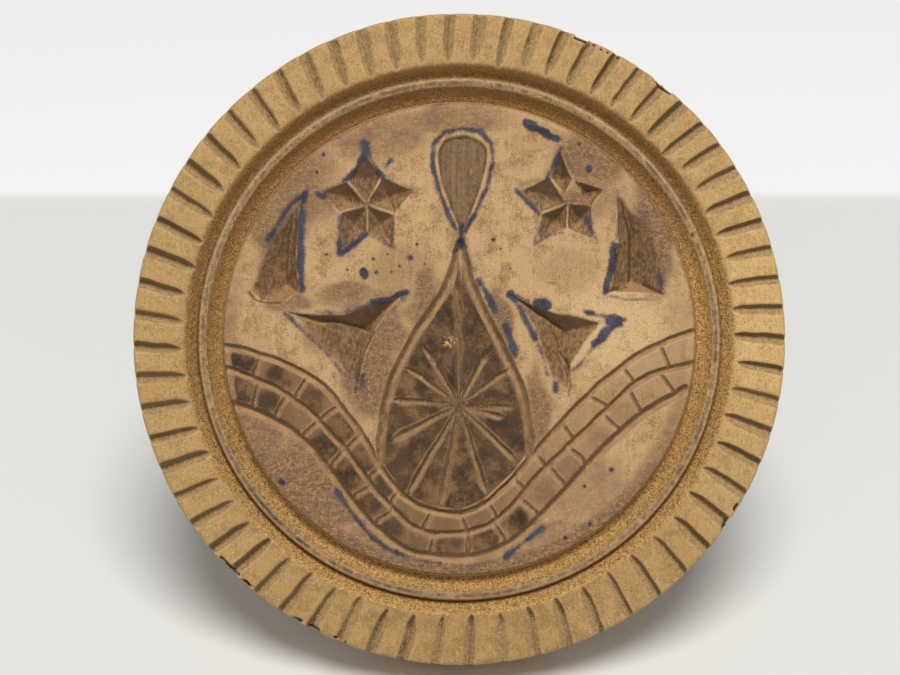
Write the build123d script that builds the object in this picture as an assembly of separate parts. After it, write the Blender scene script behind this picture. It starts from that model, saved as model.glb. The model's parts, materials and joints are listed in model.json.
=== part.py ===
from build123d import *
import math
import os

# A round carved butter print with a turned handle, standing on its rim and its knob.
# Millimetres. It is drawn with the carved face looking along +Z, then turned to stand.

# Overall sizes
disc_radius = 60.0
rim_thickness = 13.0
boss_height = 9.0
handle_length = 73.0
knob_radius = 14.5

# Carved face, from the rim inwards
land_width = 9.6
outer_cove_depth = 2.3
bead_width = 3.9
inner_cove_depth = 3.2
inner_cove_width = 2.6
field_depth = 0.9
edge_round = 0.9

# Carved pattern: depths below the field, and the share of each star point that is cut away
star_depth = 1.5
star_fill = 0.93
long_chip_depth = 2.2
armed_chip_depth = 2.1
drop_depth = 0.8
ray_depth = 0.8
fine_groove = {"width": 1.6, "depth": 0.8}
low_groove = {"width": 2.1, "depth": 0.95}
drop_groove = {"width": 2.1, "depth": 0.75}
cross_groove = {"width": 1.4, "depth": 0.65}

# Rim notches
notch_count = 65
notch_width = 2.4
notch_depth = 1.2

# Joint between the print and the handle
boss_radius = 20.0
tenon_radius = 7.5
tenon_clearance = 0.1
face_wood = 9.0
bore_end_gap = 0.5
kerf_depth = 5.5
wedge_thick = 3.0
wedge_thin = 1.0
wedge_side_gap = 0.6
peg_radius = 1.9
peg_clearance = 0.05
peg_proud = 0.4
peg_far_wood = 4.0

# Handle
shoulder_radius = 13.5
neck_radius = 8.2
grip_radius = 11.6

# The wear that the print stands on
standing_wear = 0.15

# Sizes that follow from the ones above
land_inner = disc_radius - land_width
bead_outer = land_inner - 2.4
bead_inner = bead_outer - bead_width + 2.4
field_radius = bead_inner - inner_cove_width - 0.4
pattern_scale = field_radius / 43.5
bore_depth = rim_thickness + boss_height - face_wood
tenon_length = bore_depth - bore_end_gap
boss_face = -(rim_thickness + boss_height)
peg_height = boss_face + boss_height / 2
knob_centre = boss_face - handle_length + knob_radius
lift = 0.5


def flat_face(points):
    return Face(Wire.make_polygon([Vector(*point) for point in points], close=True))


def chip(outline, pit, depth, level=-field_depth):
    """A cut with flat sides that all meet in one pit; the outline is its edge on the wood at that level."""
    grow = (depth + lift) / depth
    low = (pit[0], pit[1], level - depth)
    top = [
        (pit[0] + (x - pit[0]) * grow, pit[1] + (y - pit[1]) * grow, level + lift)
        for x, y in outline
    ]
    sides = [
        flat_face([top[i], top[(i + 1) % len(top)], low])
        for i in range(len(top))
    ]
    return Solid(Shell([flat_face(top)] + sides))


def groove(path, width, depth):
    """A V groove along a path of straight runs."""
    grow = (depth + lift) / depth
    left, right, low = [], [], []
    last = len(path) - 1
    for i, (x, y) in enumerate(path):
        ahead = path[min(i + 1, last)]
        behind = path[max(i - 1, 0)]
        run = (ahead[0] - behind[0], ahead[1] - behind[1])
        length = math.hypot(*run)
        side = (-run[1] / length, run[0] / length)
        half = width / 2 * grow
        left.append((x + side[0] * half, y + side[1] * half, lift - field_depth))
        right.append((x - side[0] * half, y - side[1] * half, lift - field_depth))
        low.append((x, y, -field_depth - depth))
    faces = [
        flat_face(left + right[::-1]),
        flat_face([left[0], right[0], low[0]]),
        flat_face([left[-1], low[-1], right[-1]]),
    ]
    for i in range(last):
        for edge in (left, right):
            faces.append(flat_face([edge[i], edge[i + 1], low[i + 1]]))
            faces.append(flat_face([edge[i], low[i + 1], low[i]]))
    return Solid(Shell(faces))


def polar(radius, angle):
    """A point on the face at an angle from the top, clockwise."""
    return (radius * math.sin(angle), radius * math.cos(angle))


def scaled(points):
    return [(x * pattern_scale, y * pattern_scale) for x, y in points]


def pattern_chip(outline, pit, depth):
    return chip(scaled(outline), scaled([pit])[0], depth)


def turned(points):
    """A solid of revolution about Z from radius, height points; a middle point in a triple makes an arc."""
    with BuildSketch(Plane.XZ) as section:
        with BuildLine():
            start = points[0]
            here = start
            for step in points[1:]:
                if len(step) == 4:
                    ThreePointArc(here, step[:2], step[2:])
                    here = step[2:]
                else:
                    Line(here, step)
                    here = step
            Line(here, start)
        make_face()
    return revolve(section.sketch, Axis.Z)


# The print: rim, coves and bead in front, boss behind
round_off = edge_round * 0.3
disc = turned([
    (0, -field_depth),
    (field_radius - edge_round, -field_depth),
    (field_radius - round_off, -field_depth - round_off, field_radius, -field_depth - edge_round),
    (field_radius + 0.4, -inner_cove_depth),
    (bead_inner - 0.6, -inner_cove_depth + 0.5, bead_inner, -1.6),
    ((bead_inner + bead_outer) / 2, -0.75, bead_outer, -1.4),
    (bead_outer + 0.3, -outer_cove_depth),
    (land_inner - 0.7, -outer_cove_depth + 0.9, land_inner, 0),
    (disc_radius - edge_round, 0),
    (disc_radius - round_off, -round_off, disc_radius, -edge_round),
    (disc_radius, edge_round - rim_thickness),
    (disc_radius - round_off, round_off - rim_thickness, disc_radius - edge_round, -rim_thickness),
    (boss_radius + 4, -rim_thickness),
    (boss_radius + 1.2, -rim_thickness - 1.2, boss_radius, -rim_thickness - 4),
    (boss_radius, boss_face + 1.5),
    (boss_radius - 0.45, boss_face + 0.45, boss_radius - 1.5, boss_face),
    (0, boss_face),
])

# Notches round the rim, a little closer together at the top, each leaning slightly
notches = []
for i in range(notch_count):
    turn = math.tau * i / notch_count
    angle = turn + math.radians(1.1 - 3.5 * math.sin(turn) + 1.2 * math.cos(turn) + 1.5 * math.cos(2 * turn))
    reach = disc_radius + 1.0
    inner = land_inner - 0.7 + 0.5 * math.sin(5 * turn)
    half = notch_width / 2 / reach
    outline = [polar(inner, angle - 0.017), polar(reach, angle - half), polar(reach, angle + half)]
    notches.append(chip(outline, polar(reach, angle), notch_depth, level=0))

# Two stars of five kite-shaped chips, with a thin ridge left between neighbours
def star_chips(tips, hollows, inners):
    chips = []
    for i in range(5):
        kite = [tips[i], hollows[i], inners[i], hollows[i - 1]]
        middle = (sum(x for x, y in kite) / 4, sum(y for x, y in kite) / 4)
        outline = [
            (middle[0] + (x - middle[0]) * star_fill, middle[1] + (y - middle[1]) * star_fill)
            for x, y in kite
        ]
        pit = tuple(0.2 * tip + 0.25 * (left + right) + 0.3 * inner
                    for tip, left, inner, right in zip(*kite))
        chips.append(pattern_chip(outline, pit, star_depth))
    return chips


left_middle, right_middle = (-17.0, 24.9), (19.9, 25.1)
stars = star_chips(
    tips=[(-17.2, 34.4), (-8.0, 27.5), (-12.0, 16.8), (-21.6, 16.0), (-25.6, 27.0)],
    hollows=[(-14.3, 29.9), (-11.7, 23.0), (-17.0, 19.6), (-22.0, 23.4), (-20.6, 29.4)],
    inners=[left_middle] * 5)
stars += star_chips(
    tips=[(18.6, 34.6), (26.8, 27.7), (24.8, 18.2), (14.2, 18.3), (10.8, 27.5)],
    hollows=[(20.7, 29.3), (24.4, 24.6), (19.9, 20.2), (15.0, 23.1), (16.6, 30.0)],
    inners=[(19.4, 26.6), (22.6, 26.4), right_middle, right_middle, right_middle])

# Long chips beside the stars, and the three-armed chips under them
wings = [
    pattern_chip(
        [(-28.8, 26.6), (-34.4, 19.4), (-38.4, 9.4), (-36.8, 6.9), (-32.7, 6.8), (-29.2, 8.8)],
        (-31.7, 10.0), long_chip_depth),
    pattern_chip(
        [(28.8, 27.8), (27.2, 8.5), (37.7, 8.3), (37.3, 14.2), (34.6, 21.0)],
        (31.8, 10.6), long_chip_depth),
    pattern_chip(
        [(-31.2, 4.8), (-25.6, 4.6), (-21.6, 4.6), (-18.0, 6.0), (-10.6, 8.3), (-13.4, 5.0), (-15.9, 1.0),
         (-18.0, -3.2), (-19.1, -9.0), (-22.4, -5.2), (-25.9, -1.4)],
        (-17.3, 1.8), armed_chip_depth),
    pattern_chip(
        [(9.8, 8.1), (14.2, 6.0), (18.0, 4.8), (22.0, 4.3), (26.2, 3.0), (23.2, -0.9), (20.4, -5.0),
         (20.0, -9.8), (17.0, -7.6), (15.2, -1.8), (13.6, 2.6)],
        (19.5, 1.5), armed_chip_depth),
]

# Sunk drop at the top
with BuildSketch(Plane.XY.offset(lift)) as drop_shape:
    with BuildLine():
        Spline(*scaled([(0.4, 19.2), (-2.2, 25.5), (-3.9, 32.0), (-3.1, 36.2), (0.6, 37.6)]))
        Spline(*scaled([(0.6, 37.6), (4.3, 36.2), (5.1, 32.5), (3.0, 25.5), (0.4, 19.2)]))
    make_face()
drop = extrude(drop_shape.sketch, amount=-(lift + field_depth + drop_depth))

# Large upright drop: its two outline grooves and the rays inside it
drop_sides = [
    [(0.2, 17.6), (-2.0, 10.2), (-5.0, 5.4), (-8.5, 0.0), (-11.2, -5.0), (-13.0, -10.0), (-14.0, -15.0),
     (-14.5, -20.0), (-14.8, -22.6)],
    [(0.2, 17.6), (2.0, 10.8), (5.0, 4.0), (8.0, -2.0), (10.0, -6.0), (11.6, -10.0), (12.6, -15.0),
     (13.0, -20.8)],
]
ray_ends = [  # end and width
    ((-0.4, 12.8), 1.3), ((-6.9, -1.2), 2.2), ((-9.5, -4.9), 1.7), ((-11.7, -11.2), 1.5), ((-12.2, -18.2), 1.7),
    ((-9.8, -27.6), 2.4), ((-3.5, -30.2), 2.4), ((4.8, -28.4), 2.1), ((10.4, -22.3), 1.6), ((9.4, -15.0), 1.2),
    ((10.4, -12.6), 1.0), ((9.2, -5.7), 1.5), ((4.5, -2.2), 2.0),
]
hub = (0.0, -12.0)
rays = []
for end, width in ray_ends:
    run = (end[0] - hub[0], end[1] - hub[1])
    length = math.hypot(*run)
    side = (-run[1] / length * width / 2, run[0] / length * width / 2)
    pit = (hub[0] + run[0] * 0.8, hub[1] + run[1] * 0.8)
    rays.append(pattern_chip(
        [(hub[0] + run[0] * 0.08, hub[1] + run[1] * 0.08), (pit[0] - side[0], pit[1] - side[1]), end,
         (pit[0] + side[0], pit[1] + side[1])],
        pit, ray_depth))

# Garland: three grooves with cross cuts between them
garland = [
    ([(-41.6, -1.5), (-38.0, -2.3), (-31.0, -5.0), (-25.0, -8.7), (-21.0, -13.5), (-17.0, -19.0),
      (-14.5, -23.7), (-10.0, -29.0), (-5.0, -31.5), (0.0, -31.9), (5.0, -30.0), (10.0, -25.6),
      (15.0, -19.6), (20.0, -14.1), (25.0, -9.2), (30.0, -5.0), (35.0, -1.7), (41.6, 1.2)], fine_groove),
    ([(-41.4, -5.7), (-38.0, -7.0), (-33.0, -9.5), (-28.0, -13.0), (-24.0, -17.0), (-20.0, -21.6),
      (-16.0, -27.0), (-12.0, -31.5), (-8.0, -34.8), (-3.0, -35.9), (3.0, -35.1), (7.0, -33.1),
      (10.0, -30.4), (15.0, -24.7), (20.0, -19.7), (25.0, -15.0), (30.0, -10.2), (35.0, -6.6),
      (41.4, -4.6)], fine_groove),
    ([(-40.6, -12.2), (-37.0, -13.5), (-33.0, -15.5), (-28.0, -19.2), (-24.0, -24.0), (-20.0, -29.3),
      (-16.0, -34.0), (-11.0, -38.1), (-7.0, -39.6), (0.0, -40.2), (5.5, -39.4), (10.0, -37.0),
      (15.0, -32.6), (20.0, -27.3), (25.0, -21.8), (30.0, -17.0), (35.0, -13.0), (40.8, -9.6)], low_groove),
]
upper_crossings = [
    (-36.5, -5.0), (-30.0, -9.6), (-24.5, -13.6), (-19.5, -19.3), (-15.5, -24.8), (-11.9, -29.2), (-5.8, -33.4),
    (1.0, -33.8), (6.5, -31.6), (10.8, -27.4), (15.7, -22.0), (20.3, -17.3), (26.0, -12.0), (31.7, -7.4),
    (38.0, -3.4),
]
lower_crossings = [
    (-37.5, -10.4), (-33.0, -13.0), (-27.3, -16.8), (-22.9, -22.4), (-18.0, -28.2), (-14.0, -32.6),
    (-5.0, -37.5), (1.5, -37.6), (7.5, -35.4), (13.2, -30.9), (18.3, -25.4), (22.5, -21.1), (28.0, -16.0),
    (33.0, -11.9), (38.4, -8.4),
]


def nearest_on(path, point):
    """The nearest point to a given one on a path of straight runs."""
    best, found = 1e9, path[0]
    for (x0, y0), (x1, y1) in zip(path[:-1], path[1:]):
        run_x, run_y = x1 - x0, y1 - y0
        share = ((point[0] - x0) * run_x + (point[1] - y0) * run_y) / (run_x ** 2 + run_y ** 2)
        share = min(1, max(0, share))
        near = (x0 + share * run_x, y0 + share * run_y)
        gap = math.dist(near, point)
        if gap < best:
            best, found = gap, near
    return found


# Each cross cut runs square across its row, from one groove to the next
top_line, middle_line, low_line = [path for path, size in garland]
cross_cuts = [(nearest_on(top_line, point), nearest_on(middle_line, point)) for point in upper_crossings]
cross_cuts += [(nearest_on(middle_line, point), nearest_on(low_line, point)) for point in lower_crossings]
garland_cuts = [groove(scaled(path), **size) for path, size in garland]
cross_grooves = [groove(scaled(cut), **cross_groove) for cut in cross_cuts]
outline_grooves = [groove(scaled(side), **drop_groove) for side in drop_sides]

for cuts in (notches, stars, wings, [drop], rays, outline_grooves, garland_cuts, cross_grooves):
    disc = disc - cuts

# Bore for the tenon, and the blind hole for the peg
bore = Pos(0, 0, boss_face + bore_depth / 2) * Cylinder(tenon_radius + tenon_clearance, bore_depth)
peg_start = -boss_radius + peg_far_wood
peg_end = boss_radius + peg_proud
peg_line = Pos((peg_start + peg_end) / 2, 0, peg_height) * Rot(0, 90, 0)
peg_length = peg_end - peg_start
peg_hole = peg_line * Cylinder(peg_radius + peg_clearance, peg_length)
print_disc = disc - [bore, peg_hole]

# The wedge is driven to the bottom of the bore; the kerf takes its shape
bore_bottom = boss_face + bore_depth
tenon_end = boss_face + tenon_length
kerf_bottom = tenon_end - kerf_depth
wedge_length = bore_bottom - kerf_bottom
end_half = (wedge_thin + (wedge_thick - wedge_thin) * kerf_depth / wedge_length) / 2


def wedge_prism(top_half, top, width):
    with BuildSketch(Plane.XZ) as section:
        with BuildLine():
            Polyline(
                (-wedge_thin / 2, kerf_bottom), (wedge_thin / 2, kerf_bottom),
                (top_half, top), (-top_half, top), close=True,
            )
        make_face()
    return extrude(section.sketch, amount=width / 2, both=True)


wedge_width = 2 * (tenon_radius - wedge_side_gap) * 0.95
tenon_wedge = wedge_prism(wedge_thick / 2, bore_bottom, wedge_width)
kerf = wedge_prism(end_half, tenon_end, 2 * tenon_radius + 4)

# The handle: tenon, shoulder bead, neck, swelling grip and knob
neck_height = boss_face - 0.2 * handle_length
grip_height = boss_face - 0.46 * handle_length
waist_height = knob_centre + knob_radius * 0.8
waist_radius = knob_radius * 0.6
with BuildSketch(Plane.XZ) as handle_shape:
    with BuildLine():
        Line((0, tenon_end), (tenon_radius - 0.6, tenon_end))
        Line((tenon_radius - 0.6, tenon_end), (tenon_radius, tenon_end - 0.6))
        Line((tenon_radius, tenon_end - 0.6), (tenon_radius, boss_face))
        Line((tenon_radius, boss_face), (shoulder_radius - 1, boss_face))
        ThreePointArc(
            (shoulder_radius - 1, boss_face), (shoulder_radius + 0.3, boss_face - 1.9),
            (shoulder_radius - 1.2, boss_face - 4.0))
        Line((shoulder_radius - 1.2, boss_face - 4.0), (shoulder_radius - 2.2, boss_face - 4.2))
        Spline(
            (shoulder_radius - 2.2, boss_face - 4.2), (neck_radius, neck_height),
            (grip_radius, grip_height), (waist_radius, waist_height),
            tangents=[(-0.45, -1), (-0.25, -1)])
        ThreePointArc(
            (waist_radius, waist_height), (knob_radius, knob_centre), (0, knob_centre - knob_radius))
        Line((0, knob_centre - knob_radius), (0, tenon_end))
    make_face()
handle = revolve(handle_shape.sketch, Axis.Z) - [kerf, peg_hole]
locking_peg = peg_line * Cylinder(peg_radius, peg_length)

# Stand it on the back edge of the rim and the knob
edge_run = disc_radius - edge_round
knob_run = rim_thickness - edge_round + knob_centre
lean = math.acos((knob_radius - edge_round) / math.hypot(edge_run, knob_run)) - math.atan2(-knob_run, edge_run)
stand = Rot(90 - math.degrees(lean), 0, 0)
pieces = {
    "print_disc": stand * print_disc,
    "handle": stand * handle,
    "tenon_wedge": stand * tenon_wedge,
    "locking_peg": stand * locking_peg,
}

# Wear flats where it touches the table
ground = min(piece.bounding_box().min.Z for piece in pieces.values()) + standing_wear
table = Pos(0, 0, ground - 10) * Box(400, 400, 20)
for name in ("print_disc", "handle"):
    pieces[name] = pieces[name] - table

# The origin is under the middle of the whole print
whole = Compound([piece.solid() for piece in pieces.values()]).bounding_box()
shift = Pos(-(whole.min.X + whole.max.X) / 2, -(whole.min.Y + whole.max.Y) / 2, -whole.min.Z)
os.makedirs("parts", exist_ok=True)
for name, piece in pieces.items():
    solid = (shift * piece).solid()
    export_step(solid, os.path.join("parts", name + ".step"))
    print(name, "volume", round(solid.volume), "mm3, valid", solid.is_valid)

face_point = (shift * stand * Pos(0, land_inner + land_width / 2, 0)).position
print("lean", round(math.degrees(lean), 3), "degrees; size", whole.size)
print("rim land point", face_point)
print("face direction", 0, -math.cos(lean), math.sin(lean))
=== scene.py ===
import json
import math
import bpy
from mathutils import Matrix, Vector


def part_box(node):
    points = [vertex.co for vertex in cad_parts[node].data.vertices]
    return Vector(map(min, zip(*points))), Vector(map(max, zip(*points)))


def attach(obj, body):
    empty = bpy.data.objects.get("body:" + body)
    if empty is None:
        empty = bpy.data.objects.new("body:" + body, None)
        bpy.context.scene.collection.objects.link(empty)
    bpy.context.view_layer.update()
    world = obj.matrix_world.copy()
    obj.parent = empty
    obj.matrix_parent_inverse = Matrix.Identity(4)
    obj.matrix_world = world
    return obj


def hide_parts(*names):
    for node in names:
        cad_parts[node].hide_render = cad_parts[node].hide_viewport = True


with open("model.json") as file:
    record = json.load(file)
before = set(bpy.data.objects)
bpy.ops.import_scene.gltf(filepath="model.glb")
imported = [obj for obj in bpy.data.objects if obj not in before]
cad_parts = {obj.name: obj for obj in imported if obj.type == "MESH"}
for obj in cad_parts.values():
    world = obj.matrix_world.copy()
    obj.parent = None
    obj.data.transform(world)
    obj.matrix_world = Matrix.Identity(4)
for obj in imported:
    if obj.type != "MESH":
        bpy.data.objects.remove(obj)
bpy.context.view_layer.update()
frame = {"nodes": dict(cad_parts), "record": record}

from types import SimpleNamespace

import bpy
import numpy as np
from mathutils import Matrix, Vector

# The carved face's own axes: x across, y up the face, z straight out of it; its sizes are in millimetres
faceMount = next(m for m in frame["record"]["mounts"] if m["name"] == "print_face")
faceOut = np.array(faceMount["axis"])
faceAcross = np.array([1.0, 0.0, 0.0])
faceUp = np.cross(faceOut, faceAcross)
discLow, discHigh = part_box("print_disc")
discRadius = (discHigh[0] - discLow[0]) / 2 * 1000
landWidth = 9.6
landMiddle = discRadius - landWidth / 2
faceCentre = np.array(faceMount["pos_m"]) - faceUp * landMiddle / 1000
lean = math.asin(faceOut[2])


def onFace(x, y, z):
    # a point of the face is the centre plus x, y and z along the three axes
    flat = np.stack([np.ravel(x), np.ravel(y), np.ravel(z)], axis=1) / 1000
    return faceCentre + flat @ np.stack([faceAcross, faceUp, faceOut])


def aboveTable(points):
    # nothing reaches lower than the table
    return np.maximum(points, [-np.inf, -np.inf, 0.0])


def lattice(x, y, cell, seed):
    # random heights from -1 to 1 on a square lattice, joined by smooth steps
    table = np.random.default_rng(seed).uniform(-1, 1, (257, 257))
    gridX, gridY = x / cell + 100, y / cell + 100
    column, row = np.floor(gridX).astype(int), np.floor(gridY).astype(int)
    partX, partY = gridX - column, gridY - row
    partX = partX * partX * (3 - 2 * partX)
    partY = partY * partY * (3 - 2 * partY)
    column, row = column % 256, row % 256
    low = table[column, row] * (1 - partX) + table[column + 1, row] * partX
    high = table[column, row + 1] * (1 - partX) + table[column + 1, row + 1] * partX
    return low * (1 - partY) + high * partY


def step(value, start, end):
    # 0 before start, 1 after end, a smooth curve between
    share = np.clip((value - start) / (end - start), 0, 1)
    return share * share * (3 - 2 * share)


def bell(value, middle, width):
    # 1 at the middle, falling off on both sides: e to the power of minus the squared distance in widths
    return np.exp(-((value - middle) / width) ** 2)


def kneed(value, soft):
    # the value where it is positive, 0 where it is negative, with a rounded knee between
    bent = (value + soft) ** 2 / (4 * soft)
    return np.where(value > soft, value, np.where(value < -soft, 0, bent))


def smoothLine(points, parts=4):
    # a cubic through each pair of points; at its ends it runs along the line between their neighbours
    points = np.array(points, float)
    ends = np.vstack([2 * points[0] - points[1], points, 2 * points[-1] - points[-2]])
    share = np.linspace(0, 1, parts, endpoint=False)[None, :, None]
    before, start, end, after = (ends[i:len(ends) - 3 + i, None, :] for i in range(4))
    curve = 0.5 * (2 * start + (end - before) * share
                   + (2 * before - 5 * start + 4 * end - after) * share ** 2
                   + (3 * start - before - 3 * end + after) * share ** 3)
    return np.vstack([curve.reshape(-1, 2), points[-1:]])


def nearLine(x, y, points):
    # shortest distance from each place to a line of points
    nearest = np.full(np.shape(x), 1e3)
    for (startX, startY), (endX, endY) in zip(points[:-1], points[1:]):
        runX, runY = endX - startX, endY - startY
        share = ((x - startX) * runX + (y - startY) * runY) / (runX ** 2 + runY ** 2 + 1e-9)
        share = np.clip(share, 0, 1)
        nearest = np.minimum(nearest, np.hypot(x - startX - share * runX, y - startY - share * runY))
    return nearest


def grooveDepth(distance, width, depth):
    # a V cut: full depth on its line, running out at half the width, with rounded edges and a rounded valley
    soft = np.sqrt(distance ** 2 + 0.01)
    return depth * kneed(1 - soft / (width / 2), 0.14)


def chipDepth(x, y, outline, pit, depth, hollow=1.0):
    # flat sides from the outline down to one pit: the share of the pit in each side's triangle is the depth
    fall = np.full(np.shape(x), -1.0)
    for (startX, startY), (endX, endY) in zip(outline, outline[1:] + outline[:1]):
        ax, ay, bx, by = startX - pit[0], startY - pit[1], endX - pit[0], endY - pit[1]
        area = ax * by - ay * bx
        shareA = ((x - pit[0]) * by - (y - pit[1]) * bx) / area
        shareB = (ax * (y - pit[1]) - ay * (x - pit[0])) / area
        inside = (shareA >= 0) & (shareB >= 0)
        fall = np.where(inside, np.maximum(fall, 1 - shareA - shareB), fall)
    return depth * kneed(fall, 0.05) ** hollow


def buildPiece(name, points, faces, values, material, replaced):
    mesh = bpy.data.meshes.new(name)
    mesh.from_pydata(points.tolist(), [], faces)
    mesh.update()
    for label, numbers in values.items():
        layer = mesh.attributes.new(label, "FLOAT", "POINT")
        layer.data.foreach_set("value", np.ravel(numbers).astype(np.float32))
    mesh.shade_smooth()
    mesh.materials.append(material)
    piece = bpy.data.objects.new(name, mesh)
    bpy.context.scene.collection.objects.link(piece)
    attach(piece, "root")
    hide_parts(*replaced)
    print(name, len(mesh.polygons), "faces")
    return piece


def gridFaces(rows, columns, closeRows=False, closeColumns=False):
    # four-cornered faces of a grid of points, joined end to end where it closes on itself
    row = np.arange(rows if closeRows else rows - 1)[:, None]
    column = np.arange(columns if closeColumns else columns - 1)[None, :]
    nextRow, nextColumn = (row + 1) % rows, (column + 1) % columns
    corners = [row * columns + column, row * columns + nextColumn,
               nextRow * columns + nextColumn, nextRow * columns + column]
    return np.stack(corners, axis=-1).reshape(-1, 4)


field = {
    "radius": 43.5,
    "depth": 0.9,
    "wallFoot": 43.95,
    "coveBottom": 3.2,
    "edgeRound": 0.8,
    "gridLines": 306,
    "plugBottom": -4.9,
}

carving = {  # widths and depths of the cuts; starFill is the share of each star point that is cut away
    "starDepth": 1.5, "starFill": 0.985,
    "wingDepth": 2.3,
    "birdDepth": 2.2,
    "rayDepth": 0.8,
    "dropDepth": 0.8,
    "grooveWidth": 1.6, "grooveDepth": 0.75,
    "lowGrooveWidth": 2.1, "lowGrooveDepth": 0.85,
    "dropGrooveWidth": 2.2, "dropGrooveDepth": 0.75,
    "crossWidth": 1.2, "crossDepth": 0.5,
    "slitWidth": 0.8, "slitDepth": 0.4,
    "knob": (21.3, 27.0),  # left uncut in the right star
}


def starChips(tips, hollows, inners):
    # each point of the star is a kite: tip, hollow, inner end, hollow; shrunk a little towards its middle
    chips = []
    for i in range(5):
        kite = np.array([tips[i], hollows[i], inners[i], hollows[i - 1]])
        middle = kite.mean(axis=0)
        pit = np.array([0.2, 0.25, 0.3, 0.25]) @ kite
        chips.append(((middle + (kite - middle) * carving["starFill"]).tolist(), pit.tolist()))
    return chips


leftMiddle, rightMiddle = (-17.0, 24.9), (19.9, 25.1)
stars = starChips(
    [(-17.2, 34.4), (-8.0, 27.5), (-12.0, 16.8), (-21.6, 16.0), (-25.6, 27.0)],
    [(-14.3, 29.9), (-11.7, 23.0), (-17.0, 19.6), (-22.0, 23.4), (-20.6, 29.4)],
    [leftMiddle] * 5)
stars += starChips(
    [(18.6, 34.6), (26.8, 27.7), (24.8, 18.2), (14.2, 18.3), (10.8, 27.5)],
    [(20.7, 29.3), (24.4, 24.6), (19.9, 20.2), (15.0, 23.1), (16.6, 30.0)],
    [(19.4, 26.6), (22.6, 26.4), rightMiddle, rightMiddle, rightMiddle])
wings = [
    ([(-29.5, 25.6), (-34.6, 19.0), (-38.4, 9.4), (-36.8, 6.9), (-32.7, 6.8), (-29.6, 8.7), (-30.0, 16.0)],
     (-31.7, 10.0)),
    ([(28.9, 27.8), (29.1, 18.0), (27.4, 8.6), (37.7, 8.3), (37.3, 14.2), (34.6, 21.0)], (31.8, 10.8)),
]
birds = [
    ([(-31.2, 4.8), (-25.6, 4.6), (-21.6, 4.6), (-18.0, 6.0), (-10.6, 8.3), (-13.4, 5.0), (-15.9, 1.0),
      (-18.0, -3.2), (-19.1, -9.0), (-22.4, -5.2), (-25.9, -1.4)], (-17.3, 1.8)),
    ([(9.8, 8.1), (14.2, 6.0), (18.0, 4.8), (22.0, 4.3), (26.2, 3.0), (23.2, -0.9), (20.4, -5.0),
      (20.0, -9.8), (17.0, -7.6), (15.2, -1.8), (13.6, 2.6)], (19.5, 1.5)),
]
topDrop = [(0.4, 19.2), (-2.2, 25.5), (-3.9, 32.0), (-3.1, 36.2), (0.6, 37.6),
           (4.3, 36.2), (5.1, 32.5), (3.0, 25.5), (0.4, 19.2)]
flameSides = [
    [(0.2, 17.6), (-2.0, 10.2), (-5.0, 5.4), (-8.5, 0.0), (-11.2, -5.0), (-13.0, -10.0), (-14.0, -15.0),
     (-14.5, -20.0), (-14.8, -23.0)],
    [(0.2, 17.6), (2.0, 10.8), (5.0, 4.0), (8.0, -2.0), (10.0, -6.0), (11.6, -10.0), (12.6, -15.0),
     (13.0, -21.2)],
]
flameFoot = [(-11.0, -28.6), (-6.0, -31.2), (-0.1, -32.1), (4.5, -30.4), (10.4, -24.8)]
hub = (0.0, -12.0)
rays = [  # outer end and width
    ((-0.3, 13.6), 1.9), ((-6.9, -0.8), 1.7), ((-9.9, -5.0), 1.8), ((-12.6, -11.2), 1.6),
    ((-12.6, -18.6), 2.0), ((-9.8, -29.0), 1.8), ((-3.5, -31.2), 2.3), ((5.1, -29.0), 1.8),
    ((10.9, -22.8), 1.5), ((8.6, -14.6), 1.6), ((10.8, -12.6), 1.1), ((9.4, -5.2), 1.7), ((5.4, -1.8), 2.1),
]
garlandTop = [(-43.0, -1.2), (-38.0, -2.3), (-31.0, -5.0), (-25.0, -8.7), (-21.0, -13.5), (-17.0, -19.0),
              (-14.5, -23.7), (-10.0, -29.0), (-5.0, -31.5), (0.0, -31.9), (5.0, -30.0), (10.0, -25.6),
              (15.0, -19.6), (20.0, -14.1), (25.0, -9.2), (30.0, -5.0), (35.0, -1.7), (43.0, 1.4)]
garlandMiddle = [(-43.0, -5.3), (-38.0, -7.0), (-33.0, -9.5), (-28.0, -13.0), (-24.0, -17.0), (-20.0, -21.6),
                 (-16.0, -27.0), (-12.0, -31.5), (-8.0, -34.8), (-3.0, -35.9), (3.0, -35.1), (7.0, -33.1),
                 (10.0, -30.4), (15.0, -24.7), (20.0, -19.7), (25.0, -15.0), (30.0, -10.2), (35.0, -6.6),
                 (43.0, -4.4)]
garlandLow = [(-41.5, -12.0), (-37.0, -13.5), (-33.0, -15.5), (-28.0, -19.2), (-24.0, -24.0), (-20.0, -29.3),
              (-16.0, -34.0), (-11.0, -38.1), (-7.0, -39.6), (0.0, -40.2), (5.5, -39.4), (10.0, -37.0),
              (15.0, -32.6), (20.0, -27.3), (25.0, -21.8), (30.0, -17.0), (35.0, -13.0), (41.5, -9.2)]
upperCrossings = [
    (-36.5, -5.0), (-30.0, -9.6), (-24.5, -13.6), (-19.5, -19.3), (-15.5, -24.8), (-11.9, -29.2),
    (-5.8, -33.4), (1.0, -33.8), (6.5, -31.6), (10.8, -27.4), (15.7, -22.0), (20.3, -17.3), (26.0, -12.0),
    (31.7, -7.4), (38.0, -3.4),
]
lowerCrossings = [
    (-37.5, -10.4), (-33.0, -13.0), (-27.3, -16.8), (-22.9, -22.4), (-18.0, -28.2), (-14.0, -32.6),
    (-5.0, -37.5), (1.5, -37.6), (7.5, -35.4), (13.2, -30.9), (18.3, -25.4), (22.5, -21.1), (28.0, -16.0),
    (33.0, -11.9), (38.4, -8.4),
]
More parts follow.
